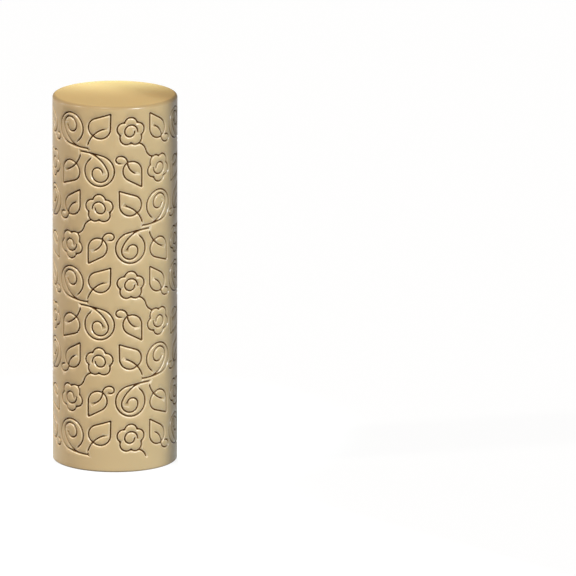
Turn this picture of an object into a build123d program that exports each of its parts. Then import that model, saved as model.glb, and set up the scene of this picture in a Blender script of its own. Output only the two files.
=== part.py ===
from build123d import *
import math
import os

os.makedirs("parts", exist_ok=True)

# Roller body
roller_radius = 25.0
roller_length = 150.0
rim_round = 1.4
base_round = 0.8

# Stiff core that the skin is cast round
core_radius = 17.0
core_wall = 2.5
end_cover = 4.0
plug_flange = 3.0
plug_spigot = 9.0
plug_chamfer = 0.8
plug_clearance = 0.1

# Engraved band
groove_width = 0.95
groove_depth = 0.8
top_margin = 2.5
bottom_margin = 6.0
motif_rows = 9
repeats_round = 3
overrun = 0.5

# Round petals of the engraved flowers
petal_count = 5
first_petal_angle = 90
petal_radius = 2.66
petal_offset = 3.15

# Each repeat is four motifs wide and two rows high
motifs_wide = 4
slot_angle = 360 / (repeats_round * motifs_wide)
row_pitch = (roller_length - top_margin - bottom_margin) / motif_rows
motif_width = 2 * roller_radius * math.sin(math.radians(slot_angle / 2))
floor_radius = roller_radius - groove_depth

# Open lines of the motifs: the heading at the start in degrees, then places in shares of the
# motif's width and of the row's height, measured from the middle of the motif
volute_shares = [
    (177, (0.60, -0.455), (-0.10, -0.37), (-0.48, 0.04), (0.30, -0.27)),
    (162, (0.30, -0.43), (-0.28, 0.02), (0.22, 0.05), (-0.11, 0.04)),
]
stem_shares = [(72, (-0.37, -0.35), (0.12, 0.06))]
hook_shares = [(10, (0.34, -0.18), (0.40, -0.36), (0.11, -0.20), (-0.12, 0.08))]
heart_and_tendril_shares = [
    (90, (0.22, 0.00), (-0.20, 0.00), (0.12, 0.00)),
    (105, (0.47, -0.47), (0.28, -0.31)),
]

# Outlines of the leaves in the same shares: the tip, the two shoulders and the foot
stem_leaf_shares = [(0.37, 0.46), (-0.14, 0.33), (0.36, 0.08), (-0.19, -0.12)]
hook_leaf_shares = [(-0.36, 0.45), (0.08, 0.26), (-0.36, 0.04), (0.11, -0.20)]


def placed(share):
    """Place in the motif for a pair of shares."""
    x_share, y_share = share
    return Vector(x_share * motif_width, y_share * row_pitch)


def leftward(direction):
    """Unit vector square to a direction, on its left."""
    return Vector(-direction.Y, direction.X).normalized()


def groove(heading, spots):
    """Face of one open line: arcs through the spots, each tangent to the one before."""
    half_width = groove_width / 2
    ahead = Vector(1, 0).rotate(Axis.Z, heading)
    left_side = []
    right_side = []
    for start, end in zip(spots, spots[1:]):
        chord = end - start
        bend = math.degrees(math.atan2(ahead.cross(chord).Z, ahead.dot(chord)))
        bulge = chord.length / 2 * math.tan(math.radians(bend / 2))
        middle = (start + end) / 2 - leftward(chord) * bulge
        turned = ahead.rotate(Axis.Z, 2 * bend)
        for side, reach in ((left_side, half_width), (right_side, -half_width)):
            side.append((
                start + leftward(ahead) * reach,
                middle + leftward(chord) * reach,
                end + leftward(turned) * reach,
            ))
        ahead = turned
    with BuildSketch() as line:
        with BuildLine():
            for arc in left_side:
                ThreePointArc(*arc)
            Line(left_side[-1][2], right_side[-1][2])
            for arc in reversed(right_side):
                ThreePointArc(*reversed(arc))
            Line(right_side[0][0], left_side[0][0])
        make_face()
    return line.sketch


def leaf(corner_shares):
    """Outline of a leaf: straight sides from the tip, then arcs from the shoulders to the foot."""
    tip, *shoulders, foot = [placed(share) for share in corner_shares]
    with BuildSketch() as blade:
        with BuildLine():
            for shoulder in shoulders:
                side = Line(tip, shoulder)
                TangentArc(shoulder, foot, tangent=side % 1)
        make_face()
    with BuildSketch() as outline:
        offset(blade.sketch, amount=groove_width / 2)
        offset(blade.sketch, amount=-groove_width / 2, mode=Mode.SUBTRACT)
    return outline.sketch


def petals(reach):
    """Face of a flower whose petals reach past their middle line, or stop short of it."""
    with BuildSketch() as bloom:
        Circle(petal_offset)
        with PolarLocations(petal_offset, petal_count, start_angle=first_petal_angle):
            Circle(petal_radius + reach)
    return bloom.sketch


def petal_ring():
    """Outline of a flower: a line along the border of its petals."""
    with BuildSketch() as ring:
        add(petals(groove_width / 2))
        add(petals(-groove_width / 2), mode=Mode.SUBTRACT)
    return ring.sketch


def cutter(line_shares, *outlines):
    """Solid that engraves a motif into the side that faces +X, with its middle at height zero."""
    with BuildSketch() as lines:
        for heading, *shares in line_shares:
            add(groove(heading, [placed(share) for share in shares]))
        for outline in outlines:
            add(outline)
    tangent_plane = Plane(origin=(roller_radius + overrun, 0, 0), x_dir=(0, 1, 0), z_dir=(1, 0, 0))
    lowest = floor_radius * math.cos(math.radians(slot_angle))
    with BuildPart() as tool:
        with BuildSketch(tangent_plane):
            add(lines.sketch)
        extrude(amount=lowest - roller_radius - overrun)
        Cylinder(floor_radius, 2 * row_pitch, mode=Mode.SUBTRACT)
    return tool.part


volute = cutter(volute_shares)
stem_leaf = cutter(stem_shares, leaf(stem_leaf_shares))
hook_leaf = cutter(hook_shares, leaf(hook_leaf_shares))
flower = cutter(heart_and_tendril_shares, petal_ring())

# The upper row of a repeat, and the lower one, which is the upper one turned half round
upper_row = [hook_leaf, volute, stem_leaf, flower]
lower_row = [Rot(180, 0, 0) * motif for motif in reversed(upper_row)]

# Down the roller every second repeat is mirrored and moved half a repeat round
engraving = []
for row in range(motif_rows):
    height = roller_length - top_margin - (row + 0.5) * row_pitch
    mirrored = row // 2 % 2 == 1
    for column, motif in enumerate(lower_row if row % 2 else upper_row):
        angle = (column - (motifs_wide - 1) / 2) * slot_angle
        if mirrored:
            motif = mirror(motif, about=Plane.XZ)
            angle = motifs_wide / 2 * slot_angle - angle
        for repeat in range(repeats_round):
            turn = angle + repeat * motifs_wide * slot_angle
            engraving.append(Pos(0, 0, height) * Rot(0, 0, turn) * motif)

# Cast skin with the engraved band, closed over both ends of the core
with BuildPart() as texture_skin:
    Cylinder(roller_radius, roller_length, align=(Align.CENTER, Align.CENTER, Align.MIN))
    fillet(texture_skin.edges().filter_by(GeomType.CIRCLE).sort_by(Axis.Z)[-1], rim_round)
    fillet(texture_skin.edges().filter_by(GeomType.CIRCLE).sort_by(Axis.Z)[0], base_round)
    with BuildSketch(Plane.XY.offset(end_cover)):
        Circle(core_radius)
    extrude(amount=roller_length - 2 * end_cover, mode=Mode.SUBTRACT)
    add(engraving, mode=Mode.SUBTRACT)
texture_skin.part.label = "texture_skin"
export_step(texture_skin.part, "parts/texture_skin.step")

# Stiff tube in the middle of the skin
tube_length = roller_length - 2 * (end_cover + plug_flange)
with BuildPart() as core_tube:
    with BuildSketch(Plane.XY.offset(end_cover + plug_flange)):
        Circle(core_radius)
        Circle(core_radius - core_wall, mode=Mode.SUBTRACT)
    extrude(amount=tube_length)
core_tube.part.label = "core_tube"
export_step(core_tube.part, "parts/core_tube.step")

# Plug in the lower end of the tube: a flange as wide as the tube and a spigot inside it
with BuildPart() as core_plug_bottom:
    with BuildSketch(Plane.XY.offset(end_cover)):
        Circle(core_radius)
    extrude(amount=plug_flange)
    with BuildSketch(Plane.XY.offset(end_cover + plug_flange)):
        Circle(core_radius - core_wall - plug_clearance)
    extrude(amount=plug_spigot)
    chamfer(core_plug_bottom.edges().filter_by(GeomType.CIRCLE).sort_by(Axis.Z)[-1], plug_chamfer)
core_plug_bottom.part.label = "core_plug_bottom"
export_step(core_plug_bottom.part, "parts/core_plug_bottom.step")

# Plug in the upper end, the same piece turned over
middle_plane = Plane.XY.offset(roller_length / 2)
with BuildPart() as core_plug_top:
    add(mirror(core_plug_bottom.part, about=middle_plane, mode=Mode.PRIVATE))
core_plug_top.part.label = "core_plug_top"
export_step(core_plug_top.part, "parts/core_plug_top.step")
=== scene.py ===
import math
from typing import NamedTuple

import bmesh
import bpy
from mathutils import Color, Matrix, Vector
from mathutils.geometry import delaunay_2d_cdt
from mathutils.kdtree import KDTree


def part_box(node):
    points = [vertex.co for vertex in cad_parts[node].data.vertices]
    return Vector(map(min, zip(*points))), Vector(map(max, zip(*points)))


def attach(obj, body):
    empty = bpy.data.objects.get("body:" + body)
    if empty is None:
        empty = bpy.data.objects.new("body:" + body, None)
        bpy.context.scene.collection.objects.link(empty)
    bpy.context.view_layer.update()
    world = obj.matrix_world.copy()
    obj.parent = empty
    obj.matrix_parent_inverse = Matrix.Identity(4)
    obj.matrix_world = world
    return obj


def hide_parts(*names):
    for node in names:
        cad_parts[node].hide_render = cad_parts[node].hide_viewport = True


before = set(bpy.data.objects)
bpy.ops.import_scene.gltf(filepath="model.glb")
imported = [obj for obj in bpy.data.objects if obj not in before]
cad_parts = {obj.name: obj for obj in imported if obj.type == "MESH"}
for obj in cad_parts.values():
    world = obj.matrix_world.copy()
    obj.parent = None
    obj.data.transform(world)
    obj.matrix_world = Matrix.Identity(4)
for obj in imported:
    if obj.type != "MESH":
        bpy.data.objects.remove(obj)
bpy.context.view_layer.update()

# Sizes read from the frame, in metres
MM = 0.001
skin_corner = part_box("texture_skin")[1]
plug_low, plug_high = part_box("core_plug_bottom")
RADIUS = skin_corner.x
LENGTH = skin_corner.z
CORE_RADIUS = plug_high.x
CORE_BOTTOM = plug_low.z
CORE_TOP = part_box("core_plug_top")[1].z

# Rounded edges and flats of the two ends
RIM_ROUND = 1.4 * MM
BASE_ROUND = 0.8 * MM
ROUND_STEPS = 7
FLAT_SHARES = (0.8, 0.6, 0.4, 0.2)

# Engraved band, with the same layout as in the solids
TOP_MARGIN = 2.5 * MM
BOTTOM_MARGIN = 6.0 * MM
MOTIF_ROWS = 9
REPEATS_ROUND = 3
MOTIFS_WIDE = 4
SECTOR = math.tau / REPEATS_ROUND
SLOT_ANGLE = math.tau / (REPEATS_ROUND * MOTIFS_WIDE)
ROW_PITCH = (LENGTH - TOP_MARGIN - BOTTOM_MARGIN) / MOTIF_ROWS
MOTIF_WIDTH = 2 * RADIUS * math.sin(SLOT_ANGLE / 2)

# Section of a groove: distance from its middle line and depth there, in millimetres
SECTION_MM = [(0.0, 0.80), (0.16, 0.72), (0.44, 0.12), (0.57, 0.02), (0.68, 0.0), (0.82, 0.0)]
GROOVE_SECTION = [(across * MM, depth * MM) for across, depth in SECTION_MM]
GROOVE_DEPTH = GROOVE_SECTION[0][1]
GROOVE_REACH = GROOVE_SECTION[-1][0]

# Open lines of the motifs: the heading at the start in degrees, then places in shares of the
# motif's width and of the row's height, measured from the middle of the motif. The flower's second
# line is its tendril, which starts at the motif's corner, where another flower's can meet it.
VOLUTE = [
    (177, (0.60, -0.455), (-0.10, -0.37), (-0.48, 0.04), (0.30, -0.27)),
    (162, (0.30, -0.43), (-0.28, 0.02), (0.22, 0.05), (-0.11, 0.04)),
]
STEM = [(72, (-0.37, -0.35), (0.12, 0.06))]
HOOK = [(10, (0.34, -0.18), (0.40, -0.36), (0.11, -0.20), (-0.12, 0.08))]
HEART_AND_TENDRIL = [
    (90, (0.22, 0.00), (-0.20, 0.00), (0.12, 0.00)),
    (105, (0.50, -0.50), (0.28, -0.31)),
]

# Outlines of the leaves in the same shares: the tip, the two shoulders and the foot
STEM_LEAF = [(0.37, 0.46), (-0.14, 0.33), (0.36, 0.08), (-0.19, -0.12)]
HOOK_LEAF = [(-0.36, 0.45), (0.08, 0.26), (-0.36, 0.04), (0.11, -0.20)]

# Round petals of the flowers
PETALS = 5
FIRST_PETAL = math.radians(90)
PETAL_RADIUS = 2.66 * MM
PETAL_OFFSET = 3.15 * MM

# An arc that turns by less than this, in radians, is taken as straight
STRAIGHT_SWEEP = 0.001


def unit(angle):
    """Unit vector of the plane at an angle."""
    return Vector((math.cos(angle), math.sin(angle)))


def heading_of(vector):
    """Angle at which a vector of the plane points."""
    return math.atan2(vector.y, vector.x)


class Arc(NamedTuple):
    """Arc of a middle line: start, heading there, angle that it turns by, and length of its chord."""

    start: Vector
    heading: float
    sweep: float
    chord: float

    def length(self):
        """Length along the arc."""
        if abs(self.sweep) < STRAIGHT_SWEEP:
            return self.chord
        return abs(self.chord * self.sweep / (2 * math.sin(self.sweep / 2)))

    def at(self, share):
        """Place and heading at a share of the arc's length."""
        if abs(self.sweep) < STRAIGHT_SWEEP:
            return self.start + unit(self.heading) * self.chord * share, self.heading
        turn = self.sweep * share
        radius = self.chord / (2 * math.sin(self.sweep / 2))
        reach = 2 * radius * math.sin(turn / 2)
        return self.start + unit(self.heading + turn / 2) * reach, self.heading + turn


class Motif(NamedTuple):
    """A motif on the roller: its lines, each a list of arcs, and how it stands there."""

    lines: list
    angle: float
    height: float
    turned: bool
    mirrored: bool

    def unrolled(self, point):
        """A point of the motif as the length round the roller and the height."""
        x = point.x
        y = point.y
        if self.turned:
            x = -x
            y = -y
        if self.mirrored:
            x = -x
        return RADIUS * (self.angle + math.asin(x / RADIUS)), self.height + y


def placed(share):
    """Place in the motif for a pair of shares."""
    return Vector((share[0] * MOTIF_WIDTH, share[1] * ROW_PITCH))


def arcs(heading, spots):
    """Arcs through the spots, each tangent to the one before."""
    ahead = unit(heading)
    found = []
    for start, end in zip(spots, spots[1:]):
        chord = end - start
        bend = math.atan2(ahead.x * chord.y - ahead.y * chord.x, ahead.dot(chord))
        found.append(Arc(start, heading_of(ahead), 2 * bend, chord.length))
        ahead = unit(heading_of(ahead) + 2 * bend)
    return found


def open_lines(table):
    """Open lines of a motif, on the plane that touches the roller."""
    return [arcs(math.radians(heading), [placed(share) for share in shares]) for heading, *shares in table]


def leaf_lines(table):
    """Outline of a leaf: straight sides from the tip, then arcs from the shoulders to the foot."""
    tip, *shoulders, foot = [placed(share) for share in table]
    return [arcs(heading_of(shoulder - tip), [tip, shoulder, foot]) for shoulder in shoulders]


def petal_lines():
    """Round petals of a flower, one arc from notch to notch for each."""
    half_angle = math.pi / PETALS
    half_gap = PETAL_OFFSET * math.sin(half_angle)
    notch = PETAL_OFFSET * math.cos(half_angle) + math.sqrt(PETAL_RADIUS ** 2 - half_gap ** 2)
    half_sweep = math.atan2(notch * math.sin(half_angle), notch * math.cos(half_angle) - PETAL_OFFSET)
    lines = []
    for petal in range(PETALS):
        middle = FIRST_PETAL + petal * 2 * half_angle
        notches = [unit(middle - half_angle) * notch, unit(middle + half_angle) * notch]
        lines.append(arcs(middle - half_sweep + math.pi / 2, notches))
    return lines


def motif_band():
    """Every motif of one repeat round, row by row from the top.

    Of each two rows the lower is the upper one turned half round. Down the roller every second
    pair of rows is mirrored and moved half a repeat round.
    """
    upper = [
        open_lines(HOOK) + leaf_lines(HOOK_LEAF),
        open_lines(VOLUTE),
        open_lines(STEM) + leaf_lines(STEM_LEAF),
        open_lines(HEART_AND_TENDRIL) + petal_lines(),
    ]
    lower = upper[::-1]
    band = []
    for row in range(MOTIF_ROWS):
        height = LENGTH - TOP_MARGIN - (row + 0.5) * ROW_PITCH
        turned = row % 2 == 1
        mirrored = row // 2 % 2 == 1
        for column, lines in enumerate(lower if turned else upper):
            angle = (column - (MOTIFS_WIDE - 1) / 2) * SLOT_ANGLE
            if mirrored:
                angle = MOTIFS_WIDE / 2 * SLOT_ANGLE - angle
            band.append(Motif(lines, angle, height, turned, mirrored))
    return band


# The side of one repeat, unrolled: its left border, its width and its lower and upper border
SHEET_WIDTH = SECTOR * RADIUS
SHEET_LEFT = -SHEET_WIDTH / 2
SHEET_LOW = BASE_ROUND
SHEET_HIGH = LENGTH - RIM_ROUND

# Points along the lines: the spacing of those in the mesh, that of the finer ones to measure from,
# and the fewest steps on an arc
LINE_STEP = 0.60 * MM
FINE_STEP = 0.08 * MM
LEAST_STEPS = 2

# Least gap between points, spacing up the seams, and points on the border at each end
POINT_GAP = 0.15 * MM
SEAM_STEP = 0.35 * MM
RIM_POINTS = 56

# Grid on the plain surface: its spacing, and how far it keeps from the border and the grooves
PLAIN_STEP = 2.2 * MM
PLAIN_ROW_STEP = 0.8 * PLAIN_STEP
PLAIN_MARGIN = PLAIN_STEP / 3
PLAIN_CLEARANCE = 0.35 * MM

# A point beside a line is left out where another line is nearer to it by more than this
ROW_TOLERANCE = 0.04 * MM

# Flat triangulation, done in millimetres: the kind that fills the whole hull of the points, and
# the distance under which two points are one
WHOLE_HULL = 0
SAME_POINT = 1e-6

MOTIFS = motif_band()


def line_spots(line, step):
    """Places and headings along a line, about a step apart."""
    for arc in line:
        count = max(LEAST_STEPS, round(arc.length() / step))
        for index in range(count):
            yield arc.at(index / count)
    yield line[-1].at(1.0)


def groove_points(step, offset):
    """Unrolled points along every line of a repeat, moved to the line's left by the offset."""
    points = []
    for motif in MOTIFS:
        for line in motif.lines:
            for spot, heading in line_spots(line, step):
                left = Vector((-math.sin(heading), math.cos(heading)))
                points.append(motif.unrolled(spot + left * offset))
    return points


def groove_tree():
    """Search tree over the middle lines of a repeat and of its two neighbours."""
    middles = groove_points(FINE_STEP, 0.0)
    turns = (-1, 0, 1)
    tree = KDTree(len(middles) * len(turns))
    for turn in turns:
        for index, (along, height) in enumerate(middles):
            tree.insert((along + turn * SHEET_WIDTH, height, 0), index)
    tree.balance()
    return tree


def groove_distance(tree, x, y):
    """Distance from a point of the sheet to the nearest middle line."""
    return tree.find((x, y, 0))[2]


def section_depth(distance):
    """Depth of the engraving at a distance from the nearest middle line."""
    for (near, deep), (far, shallow) in zip(GROOVE_SECTION, GROOVE_SECTION[1:]):
        if distance < far:
            share = (distance - near) / (far - near)
            return deep + (shallow - deep) * share
    return 0.0


class Sower:
    """Keeps points of the sheet that lie at least a gap apart, the first come first."""

    def __init__(self, gap):
        """Starts with no points. The cells are squares as wide as the gap."""
        self.gap = gap
        self.cells = {}
        self.points = []

    def cell(self, x, y):
        """Cell in which a point lies."""
        return int(x // self.gap), int(y // self.gap)

    def crowded(self, x, y):
        """Whether a kept point lies nearer than the gap."""
        column, row = self.cell(x, y)
        for i in (column - 1, column, column + 1):
            for j in (row - 1, row, row + 1):
                for other_x, other_y in self.cells.get((i, j), ()):
                    if (other_x - x) ** 2 + (other_y - y) ** 2 < self.gap ** 2:
                        return True
        return False

    def sow(self, x, y, forced=False):
        """Keeps a point if it isn't crowded, or in any case when it is forced."""
        if forced or not self.crowded(x, y):
            self.cells.setdefault(self.cell(x, y), []).append((x, y))
            self.points.append((x, y))


def steps(start, end, step):
    """Numbers from the start up to the end, a step apart."""
    number = start
    while number < end:
        yield number
        number += step


def sow_border(sower):
    """Points on the border of the sheet, which the next repeats and the two ends share."""
    for index in range(RIM_POINTS + 1):
        x = SHEET_LEFT + SHEET_WIDTH * index / RIM_POINTS
        sower.sow(x, SHEET_LOW, forced=True)
        sower.sow(x, SHEET_HIGH, forced=True)
    sheet_height = SHEET_HIGH - SHEET_LOW
    seam_count = round(sheet_height / SEAM_STEP)
    for index in range(1, seam_count):
        y = SHEET_LOW + sheet_height * index / seam_count
        sower.sow(SHEET_LEFT, y, forced=True)
        sower.sow(SHEET_LEFT + SHEET_WIDTH, y, forced=True)


def sow_grooves(sower, tree):
    """Rows of points on both sides of each line, at the distances of the groove's section."""
    for across, _ in GROOVE_SECTION:
        for offset in (across, -across):
            for x, y in groove_points(LINE_STEP, offset):
                x = SHEET_LEFT + (x - SHEET_LEFT) % SHEET_WIDTH
                if groove_distance(tree, x, y) > across - ROW_TOLERANCE:
                    sower.sow(x, y)


def sow_plain(sower, tree):
    """Wide staggered grid of points on the plain surface between the grooves."""
    rows = steps(SHEET_LOW + PLAIN_STEP / 2, SHEET_HIGH - PLAIN_MARGIN, PLAIN_ROW_STEP)
    for row, y in enumerate(rows):
        indent = PLAIN_STEP * (1 + row % 2) / 2
        for x in steps(SHEET_LEFT + indent, SHEET_LEFT + SHEET_WIDTH - PLAIN_MARGIN, PLAIN_STEP):
            if groove_distance(tree, x, y) > GROOVE_REACH + PLAIN_CLEARANCE:
                sower.sow(x, y)


def sheet_mesh():
    """Flat triangles of the sheet: points as (along, height, depth), and the triangles' corners."""
    tree = groove_tree()
    sower = Sower(POINT_GAP)
    sow_border(sower)
    sow_grooves(sower, tree)
    sow_plain(sower, tree)
    flat = [Vector((x / MM, y / MM)) for x, y in sower.points]
    corners, _, triangles, *_ = delaunay_2d_cdt(flat, [], [], WHOLE_HULL, SAME_POINT)
    points = []
    for corner in corners:
        along = corner.x * MM
        height = corner.y * MM
        points.append((along, height, section_depth(groove_distance(tree, along, height))))
    return points, triangles


# Values stored with the points of the mesh, from 0 to 1: how deep in a groove, how near the middle
# of a rounded edge (painted shade), and how much of the upper end's look (painted glow, duller finish)
STORED_VALUES = ("groove", "rim", "end")

# The upper end's look, with its painted glow, fades out down the side, and has this share at the rim
END_TONE_HEIGHT = 9.0 * MM
END_TONE_AT_RIM = 0.35

# Points round the hollow, and the distance within which sheets and ends are welded
HOLLOW_POINTS = 96
WELD_DISTANCE = 0.02 * MM


def on_circle(radius, angle, height):
    """Place at a radius, an angle and a height."""
    return radius * math.cos(angle), radius * math.sin(angle), height


def side_vert(shell, layers, along, height, depth):
    """Adds a point of the sheet at its place on the roller."""
    vert = shell.verts.new(on_circle(RADIUS - depth, along / RADIUS, height))
    vert[layers["groove"]] = depth / GROOVE_DEPTH
    nearness = min(1, max(0, 1 - (SHEET_HIGH - height) / END_TONE_HEIGHT))
    # Painted glow: the upper end's yellower tone reaches down the side near the rim
    vert[layers["end"]] = END_TONE_AT_RIM * nearness ** 2
    return vert


def ring(shell, radius, height, count):
    """Adds a level ring of points that starts at the seam of the first sheet."""
    start = -SECTOR / 2
    return [shell.verts.new(on_circle(radius, start + math.tau * i / count, height)) for i in range(count)]


def join_rings(shell, lower, upper):
    """Quads between two rings of the same count, facing out when the upper lies above."""
    count = len(lower)
    for i in range(count):
        j = (i + 1) % count
        shell.faces.new((lower[i], lower[j], upper[j], upper[i]))


def end_rings(shell, layers, upward):
    """Rounded edge and flat of one end, as rings from the side to the middle."""
    count = RIM_POINTS * REPEATS_ROUND
    rounding = RIM_ROUND if upward else BASE_ROUND
    side = LENGTH - rounding if upward else rounding
    sign = 1 if upward else -1
    rings = []
    for step in range(ROUND_STEPS + 1):
        angle = math.pi / 2 * step / ROUND_STEPS
        radius = RADIUS - rounding * (1 - math.cos(angle))
        # The upper end's look, with its painted glow, grows from the rim to the flat
        tone = END_TONE_AT_RIM + (1 - END_TONE_AT_RIM) * step / ROUND_STEPS
        rings.append(ring(shell, radius, side + sign * rounding * math.sin(angle), count))
        for vert in rings[-1]:
            # Painted shade on the rounded edge, strongest at its middle
            vert[layers["rim"]] = math.sin(2 * angle)
            vert[layers["end"]] = tone if upward else 0.0
    for share in FLAT_SHARES:
        rings.append(ring(shell, (RADIUS - rounding) * share, LENGTH if upward else 0.0, count))
        for vert in rings[-1]:
            vert[layers["end"]] = 1.0 if upward else 0.0
    for near, far in zip(rings, rings[1:]):
        if upward:
            join_rings(shell, near, far)
        else:
            join_rings(shell, far, near)
    last = rings[-1]
    shell.faces.new(last if upward else last[::-1])


def outer_surface(shell, layers):
    """The engraved side, one sheet for each repeat round, with the two ends welded to it."""
    points, triangles = sheet_mesh()
    for repeat in range(REPEATS_ROUND):
        shift = repeat * SHEET_WIDTH
        verts = [side_vert(shell, layers, along + shift, height, depth) for along, height, depth in points]
        for triangle in triangles:
            shell.faces.new([verts[i] for i in triangle])
    end_rings(shell, layers, True)
    end_rings(shell, layers, False)
    bmesh.ops.remove_doubles(shell, verts=shell.verts, dist=WELD_DISTANCE)
    bmesh.ops.recalc_face_normals(shell, faces=shell.faces)


def inner_surface(shell):
    """The closed hollow that holds the core, facing inwards."""
    hollow_low = ring(shell, CORE_RADIUS, CORE_BOTTOM, HOLLOW_POINTS)
    hollow_high = ring(shell, CORE_RADIUS, CORE_TOP, HOLLOW_POINTS)
    join_rings(shell, hollow_high, hollow_low)
    shell.faces.new(hollow_low)
    shell.faces.new(hollow_high[::-1])


def add_object(name, data):
    """Object with its data, in the scene."""
    made = bpy.data.objects.new(name, data)
    bpy.context.scene.collection.objects.link(made)
    return made


def make_skin():
    """The cast skin: engraved side, rounded ends and the hollow that holds the core."""
    shell = bmesh.new()
    for name in STORED_VALUES:
        shell.verts.layers.float.new(name)
    layers = {name: shell.verts.layers.float[name] for name in STORED_VALUES}
    outer_surface(shell, layers)
    inner_surface(shell)
    mesh = bpy.data.meshes.new("texture_skin_cast")
    shell.to_mesh(mesh)
    shell.free()
    mesh.shade_smooth()
    return add_object("texture_skin_cast", mesh)


# Numbers of the sockets for colours in a mix node
MIX_SHARE = 0
MIX_FIRST = 6
MIX_SECOND = 7
MIX_RESULT = 2

# Noise runs from 0 to 1, and mostly between these
NOISE_RANGE = (0.3, 0.7)
FULL_RANGE = (0.0, 1.0)


def srgb(red, green, blue):
    """Colour on the photo's scale of 255 as linear light."""
    linear = Color((red / 255, green / 255, blue / 255)).from_srgb_to_scene_linear()
    return (*linear, 1.0)


def set_inputs(node, values):
    """Sets the named inputs of a node."""
    for name, value in values.items():
        node.inputs[name].default_value = value


def noise(tree, scale, detail):
    """Noise through the piece, from 0 to 1, in its own coordinates."""
    place = tree.nodes.new("ShaderNodeTexCoord")
    made = tree.nodes.new("ShaderNodeTexNoise")
    set_inputs(made, {"Scale": scale, "Detail": detail})
    tree.links.new(place.outputs["Object"], made.inputs["Vector"])
    return made.outputs["Fac"]


def stored(tree, name):
    """Value stored with the points of the mesh."""
    made = tree.nodes.new("ShaderNodeAttribute")
    made.attribute_name = name
    return made.outputs["Fac"]


def mapped(tree, value, source, target):
    """A value mapped from one range to another and held inside it."""
    made = tree.nodes.new("ShaderNodeMapRange")
    names = ("From Min", "From Max", "To Min", "To Max")
    set_inputs(made, dict(zip(names, (*source, *target))))
    tree.links.new(value, made.inputs["Value"])
    return made.outputs["Result"]


def combined(tree, operation, first, second):
    """Two values combined by an operation of arithmetic."""
    made = tree.nodes.new("ShaderNodeMath")
    made.operation = operation
    tree.links.new(first, made.inputs[0])
    tree.links.new(second, made.inputs[1])
    return made.outputs[0]


def blend(tree, share, first, second):
    """Blend of two colours by a share; the first may be a socket."""
    made = tree.nodes.new("ShaderNodeMix")
    made.data_type = "RGBA"
    tree.links.new(share, made.inputs[MIX_SHARE])
    if isinstance(first, tuple):
        made.inputs[MIX_FIRST].default_value = first
    else:
        tree.links.new(first, made.inputs[MIX_FIRST])
    made.inputs[MIX_SECOND].default_value = second
    return made.outputs[MIX_RESULT]


def bumped(tree, shader, height, distance, strength):
    """Fine relief on a shader from a height that runs from 0 to 1."""
    made = tree.nodes.new("ShaderNodeBump")
    set_inputs(made, {"Distance": distance, "Strength": strength})
    tree.links.new(height, made.inputs["Height"])
    tree.links.new(made.outputs["Normal"], shader.inputs["Normal"])


def new_material(name):
    """Material, its nodes and its shader."""
    material = bpy.data.materials.new(name)
    material.use_nodes = True
    tree = material.node_tree
    return material, tree, tree.nodes["Principled BSDF"]


# Colours of the cast resin, among them painted shade, painted highlights and a painted glow
TAN = srgb(203, 175, 128)
DEEPER_TAN = srgb(197, 168, 120)
# Painted glow: the yellower tone of the upper end stands in for light shining through the resin there
END_GLOW_TAN = srgb(197, 165, 111)
# Painted shade: darker tone on the rounded edges of both ends, which hides the highlight lamps put there
RIM_SHADE_TAN = srgb(168, 140, 96)
# Painted highlight: pale tone along the lips of the grooves
LIP_HIGHLIGHT_TAN = srgb(236, 214, 180)
# Painted shade: dark brown on the floor of the grooves, where shade falls
GROOVE_SHADE_BROWN = srgb(82, 48, 16)

# Shares of a groove's depth over which the painted highlight on the lip comes and goes, the coat wears
# off and the painted brown shade of the groove's floor begins
LIP_HIGHLIGHT_RISE = (0.0, 0.03)
LIP_HIGHLIGHT_FALL = (0.10, 0.30)
COAT_WEAR = (0.2, 0.7)
GROOVE_SHADE_RISE = (0.46, 0.86)

# Stored values of the upper end over which it turns dull and loses its coat
END_DULLS = (END_TONE_AT_RIM, 1.0)
END_BARES = (END_TONE_AT_RIM, 0.8)

# Strengths of these changes
LIP_HIGHLIGHT_SHARE = 0.6
COAT_WEIGHT = 0.25
CAST_ROUGHNESS = (0.36, 0.44)
END_ROUGHENING = 0.4

# Scale and detail of the noise in the resin's tone, gloss and grain
TONE_NOISE = (55.0, 3.0)
GLOSS_NOISE = (400.0, 4.0)
GRAIN_NOISE = (1400.0, 2.0)
GRAIN_DEPTH = 0.02 * MM
GRAIN_STRENGTH = 0.2

# The rest of the resin: little mirroring under a thin coat, and slightly translucent
CAST_FINISH = {
    "IOR": 1.5,
    "Specular IOR Level": 0.1,
    "Coat IOR": 2.4,
    "Coat Roughness": 0.3,
    "Subsurface Weight": 0.10,
    "Subsurface Radius": (1.0, 0.6, 0.3),
    "Subsurface Scale": 0.5 * MM,
}


def cast_colour(tree):
    """Tan with painted light and shade: a painted glow on the upper end, painted shade on the rims, and
    painted highlights on the lips and painted brown shade on the floor of the grooves.
    """
    groove = stored(tree, "groove")
    lip_highlight_rise = mapped(tree, groove, LIP_HIGHLIGHT_RISE, (0.0, LIP_HIGHLIGHT_SHARE))
    lip_highlight_fall = mapped(tree, groove, LIP_HIGHLIGHT_FALL, (1.0, 0.0))
    colour = blend(tree, noise(tree, *TONE_NOISE), TAN, DEEPER_TAN)
    # Painted glow on the upper end
    colour = blend(tree, stored(tree, "end"), colour, END_GLOW_TAN)
    # Painted shade on the rounded rims
    colour = blend(tree, stored(tree, "rim"), colour, RIM_SHADE_TAN)
    # Painted highlight on the lips of the grooves
    colour = blend(tree, combined(tree, "MULTIPLY", lip_highlight_rise, lip_highlight_fall), colour, LIP_HIGHLIGHT_TAN)
    # Painted shade: brown on the floor of the grooves
    return blend(tree, mapped(tree, groove, GROOVE_SHADE_RISE, FULL_RANGE), colour, GROOVE_SHADE_BROWN)


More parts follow.
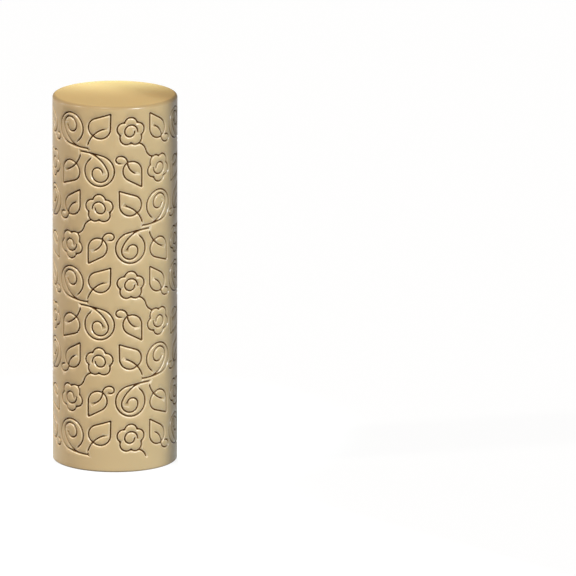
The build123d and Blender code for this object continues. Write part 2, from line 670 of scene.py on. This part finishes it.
def cast_roughness(tree):
    """Roughness of the resin, which is higher on the upper end."""
    side = mapped(tree, noise(tree, *GLOSS_NOISE), NOISE_RANGE, CAST_ROUGHNESS)
    end = mapped(tree, stored(tree, "end"), END_DULLS, (0.0, END_ROUGHENING))
    return combined(tree, "ADD", side, end)


def cast_coat(tree):
    """Weight of the coat, which ends in the grooves and on the upper end."""
    worn = mapped(tree, stored(tree, "groove"), COAT_WEAR, (COAT_WEIGHT, 0.0))
    bare = mapped(tree, stored(tree, "end"), END_BARES, (1.0, 0.0))
    return combined(tree, "MULTIPLY", worn, bare)


def cast_material():
    """Smooth tan cast resin, slightly translucent, with painted shade in the engraved lines and on the
    rims and painted highlights on the lips.
    """
    material, tree, shader = new_material("cast_resin")
    set_inputs(shader, CAST_FINISH)
    tree.links.new(cast_colour(tree), shader.inputs["Base Color"])
    tree.links.new(cast_roughness(tree), shader.inputs["Roughness"])
    tree.links.new(cast_coat(tree), shader.inputs["Coat Weight"])
    bumped(tree, shader, noise(tree, *GRAIN_NOISE), GRAIN_DEPTH, GRAIN_STRENGTH)
    return material


# Colours and ranges of roughness of the core pieces
TUBE_GREY = srgb(172, 172, 168)
DEEPER_TUBE_GREY = srgb(158, 158, 155)
TUBE_ROUGHNESS = (0.40, 0.52)
PLUG_GREY = srgb(80, 80, 82)
DEEPER_PLUG_GREY = srgb(70, 70, 73)
PLUG_ROUGHNESS = (0.45, 0.58)

# Scale and detail of the noise in the tone, gloss and grain of the core pieces
CORE_TONE_NOISE = (900.0, 3.0)
CORE_GLOSS_NOISE = (250.0, 2.0)
CORE_GRAIN_NOISE = (2200.0, 2.0)
CORE_GRAIN_STRENGTH = 0.4


def core_material(name, colour, deeper, roughness):
    """Plastic of a hidden core piece, with a fine grain."""
    material, tree, shader = new_material(name)
    tone = blend(tree, noise(tree, *CORE_TONE_NOISE), colour, deeper)
    gloss = mapped(tree, noise(tree, *CORE_GLOSS_NOISE), NOISE_RANGE, roughness)
    tree.links.new(tone, shader.inputs["Base Color"])
    tree.links.new(gloss, shader.inputs["Roughness"])
    bumped(tree, shader, noise(tree, *CORE_GRAIN_NOISE), GRAIN_DEPTH, CORE_GRAIN_STRENGTH)
    return material


def tube_material():
    """Grey extruded plastic of the tube."""
    return core_material("grey_tube", TUBE_GREY, DEEPER_TUBE_GREY, TUBE_ROUGHNESS)


def plug_material():
    """Dark moulded plastic of the two plugs."""
    return core_material("dark_plug", PLUG_GREY, DEEPER_PLUG_GREY, PLUG_ROUGHNESS)


skin = make_skin()
skin.data.materials.append(cast_material())
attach(skin, "root")
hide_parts("texture_skin")

tube_look = tube_material()
plug_look = plug_material()
core_looks = {"core_tube": tube_look, "core_plug_bottom": plug_look, "core_plug_top": plug_look}
for name, look in core_looks.items():
    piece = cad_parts[name]
    piece.data.materials.clear()
    piece.data.materials.append(look)

WHITE = (1.0, 1.0, 1.0)
WARM_WHITE = (1.0, 0.95, 0.90)
WARM_GLOW = (1.0, 0.95, 0.85)
COOL_WHITE = (0.828, 0.919, 1.0)
GREENISH_WHITE = (0.7, 0.97, 1.0)

# Far soft lamps: name, azimuth from the front towards +X, elevation above the floor, strength,
# spread and colour, with the angles in degrees
SUNS = [
    ("key_top", -32, 60, 1.65, 5, WARM_WHITE),
    ("key_left", -75, 27, 1.0, 5, WARM_WHITE),
    ("left_rim", -110, 6, 0.45, 20, WHITE),
]

# Lamp at the right: where it stands, its light at the roller, its cone, how far to the right of the
# axis its light ends, the stretch over which it fades there, and its size
RIGHT_AZIMUTH = 42
RIGHT_ELEVATION = 26
RIGHT_DISTANCE = 5.0
RIGHT_IRRADIANCE = 3.2
RIGHT_HALF_CONE = math.radians(30)
RIGHT_EDGE = 14.3 * MM
RIGHT_FADE = 11.6 * MM
RIGHT_SIZE = 4 * MM

# Narrow lamps from behind and above, whose soft edges fall across the upper end: name, power,
# colour, how far behind the roller's axis they aim, where they stand from there (behind and
# above), cone in degrees and softness of its edge
TOP_LAMPS = [
    ("top_glow", 6.0, WARM_GLOW, 0.10, (0.46, 0.40), 12.2, 0.5),
    ("top_edge", 44.0, GREENISH_WHITE, 0.085, (0.158, 0.589), 15.5, 1.0),
]
TOP_LAMP_SIZE = 10 * MM


def add_lamp(name, kind, energy, colour, location, back):
    """Lamp at a location that shines against the direction of the vector back."""
    light = bpy.data.lights.new(name, kind)
    light.energy = energy
    light.color = colour
    lamp = add_object(name, light)
    lamp.location = location
    lamp.rotation_euler = back.to_track_quat("Z", "Y").to_euler()
    return light


def add_spot(name, energy, colour, location, back, cone, softness, size):
    """Lamp with a cone of light, whose edge can be soft."""
    light = add_lamp(name, "SPOT", energy, colour, location, back)
    light.spot_size = cone
    light.spot_blend = softness
    light.shadow_soft_size = size


def towards(azimuth, elevation):
    """Unit vector from the roller towards an azimuth and an elevation in degrees."""
    turn = math.radians(azimuth)
    lift = math.radians(elevation)
    return Vector((math.sin(turn) * math.cos(lift), -math.cos(turn) * math.cos(lift), math.sin(lift)))


def light_from_afar():
    """The far soft lamps."""
    for name, azimuth, elevation, strength, spread, colour in SUNS:
        outward = towards(azimuth, elevation)
        sun = add_lamp(name, "SUN", strength, colour, outward, outward)
        sun.angle = math.radians(spread)


def light_from_right():
    """Lamp whose pool of light ends in a soft upright edge to the right of the roller's axis."""
    back = towards(RIGHT_AZIMUTH, RIGHT_ELEVATION)
    turn = math.radians(RIGHT_AZIMUTH)
    rightward = Vector((math.cos(turn), math.sin(turn), 0))
    unfaded_half_cone = RIGHT_HALF_CONE - RIGHT_FADE / RIGHT_DISTANCE
    add_spot(
        "key_right",
        energy=RIGHT_IRRADIANCE * 4 * math.pi * RIGHT_DISTANCE ** 2,
        colour=COOL_WHITE,
        location=Vector((0, 0, LENGTH / 2)) + back * RIGHT_DISTANCE,
        back=back + rightward * math.tan(RIGHT_HALF_CONE - RIGHT_EDGE / RIGHT_DISTANCE),
        cone=2 * RIGHT_HALF_CONE,
        softness=1 - (1 - math.cos(unfaded_half_cone)) / (1 - math.cos(RIGHT_HALF_CONE)),
        size=RIGHT_SIZE,
    )


def light_on_upper_end():
    """Narrow lamps whose light makes the far half of the upper end pale."""
    for name, power, colour, aimed_behind, (behind, above), cone, softness in TOP_LAMPS:
        back = Vector((0, behind, above))
        location = Vector((0, aimed_behind, LENGTH)) + back
        add_spot(name, power, colour, location, back, math.radians(cone), softness, TOP_LAMP_SIZE)


light_from_afar()
light_from_right()
light_on_upper_end()

# White surroundings: strengths of the world and the floor as light on the roller, and where they
# are seen or mirrored
WORLD_LIGHT = 0.08
WORLD_SEEN = 1.0
FLOOR_LIGHT = 0.0
FLOOR_SEEN = 0.9
FLOOR_HALF_WIDTH = 3.0
FLOOR_GREY = (0.14, 0.14, 0.14, 1)
FLOOR_ROUGHNESS = 0.9
FULL_WHITE = (1, 1, 1, 1)


def background_share(tree, for_light, for_view):
    """Strength that differs between the light on the roller and what is seen or mirrored."""
    path = tree.nodes.new("ShaderNodeLightPath")
    seen = path.outputs["Is Camera Ray"]
    for name in ("Is Glossy Ray", "Is Transmission Ray"):
        seen = combined(tree, "MAXIMUM", seen, path.outputs[name])
    return mapped(tree, seen, FULL_RANGE, (for_light, for_view))


def floor_material():
    """Grey that takes the roller's soft shadow, and glows white where it is seen or mirrored."""
    material, tree, shader = new_material("pale_floor")
    set_inputs(shader, {
        "Base Color": FLOOR_GREY,
        "Roughness": FLOOR_ROUGHNESS,
        "Specular IOR Level": 0.0,
        "Emission Color": FULL_WHITE,
    })
    tree.links.new(background_share(tree, FLOOR_LIGHT, FLOOR_SEEN), shader.inputs["Emission Strength"])
    return material


def make_floor():
    """Level square under the roller."""
    signs = [(-1, -1), (1, -1), (1, 1), (-1, 1)]
    corners = [(x * FLOOR_HALF_WIDTH, y * FLOOR_HALF_WIDTH, 0) for x, y in signs]
    mesh = bpy.data.meshes.new("floor")
    mesh.from_pydata(corners, [], [(0, 1, 2, 3)])
    mesh.materials.append(floor_material())
    return add_object("floor", mesh)


def make_world():
    """White world, dimmer to the roller than to the camera."""
    world = bpy.data.worlds.new("studio")
    world.use_nodes = True
    tree = world.node_tree
    background = tree.nodes["Background"]
    set_inputs(background, {"Color": FULL_WHITE})
    tree.links.new(background_share(tree, WORLD_LIGHT, WORLD_SEEN), background.inputs["Strength"])
    return world


floor = make_floor()
bpy.context.scene.world = make_world()

# The square photo in its own pixels: its size and the place of the roller's middle, and the real
# size of a pixel at the roller
PHOTO_SIZE = 576
ROLLER_X = 114.95
ROLLER_Y = 276.0
PIXEL = 0.401 * MM

# The camera sees the roller from far off and a little from above, through a long lens
ELEVATION = math.radians(13.4)
LENS = 800.0
SENSOR = 36.0
CAMERA_REACH = 100.0


def make_camera():
    """Camera that sees the roller where the photo shows it, at the same size."""
    data = bpy.data.cameras.new("camera")
    data.lens = LENS
    data.sensor_width = SENSOR
    data.shift_x = (PHOTO_SIZE / 2 - ROLLER_X) / PHOTO_SIZE
    data.shift_y = (ROLLER_Y - PHOTO_SIZE / 2) / PHOTO_SIZE
    data.clip_end = CAMERA_REACH
    distance = PHOTO_SIZE * PIXEL * LENS / SENSOR
    back = Vector((0, -math.cos(ELEVATION), math.sin(ELEVATION)))
    camera = add_object("camera", data)
    camera.location = Vector((0, 0, LENGTH / 2)) + back * distance
    camera.rotation_euler = (math.pi / 2 - ELEVATION, 0, 0)
    return camera


bpy.context.scene.camera = make_camera()
bpy.context.scene.view_settings.view_transform = "Standard"
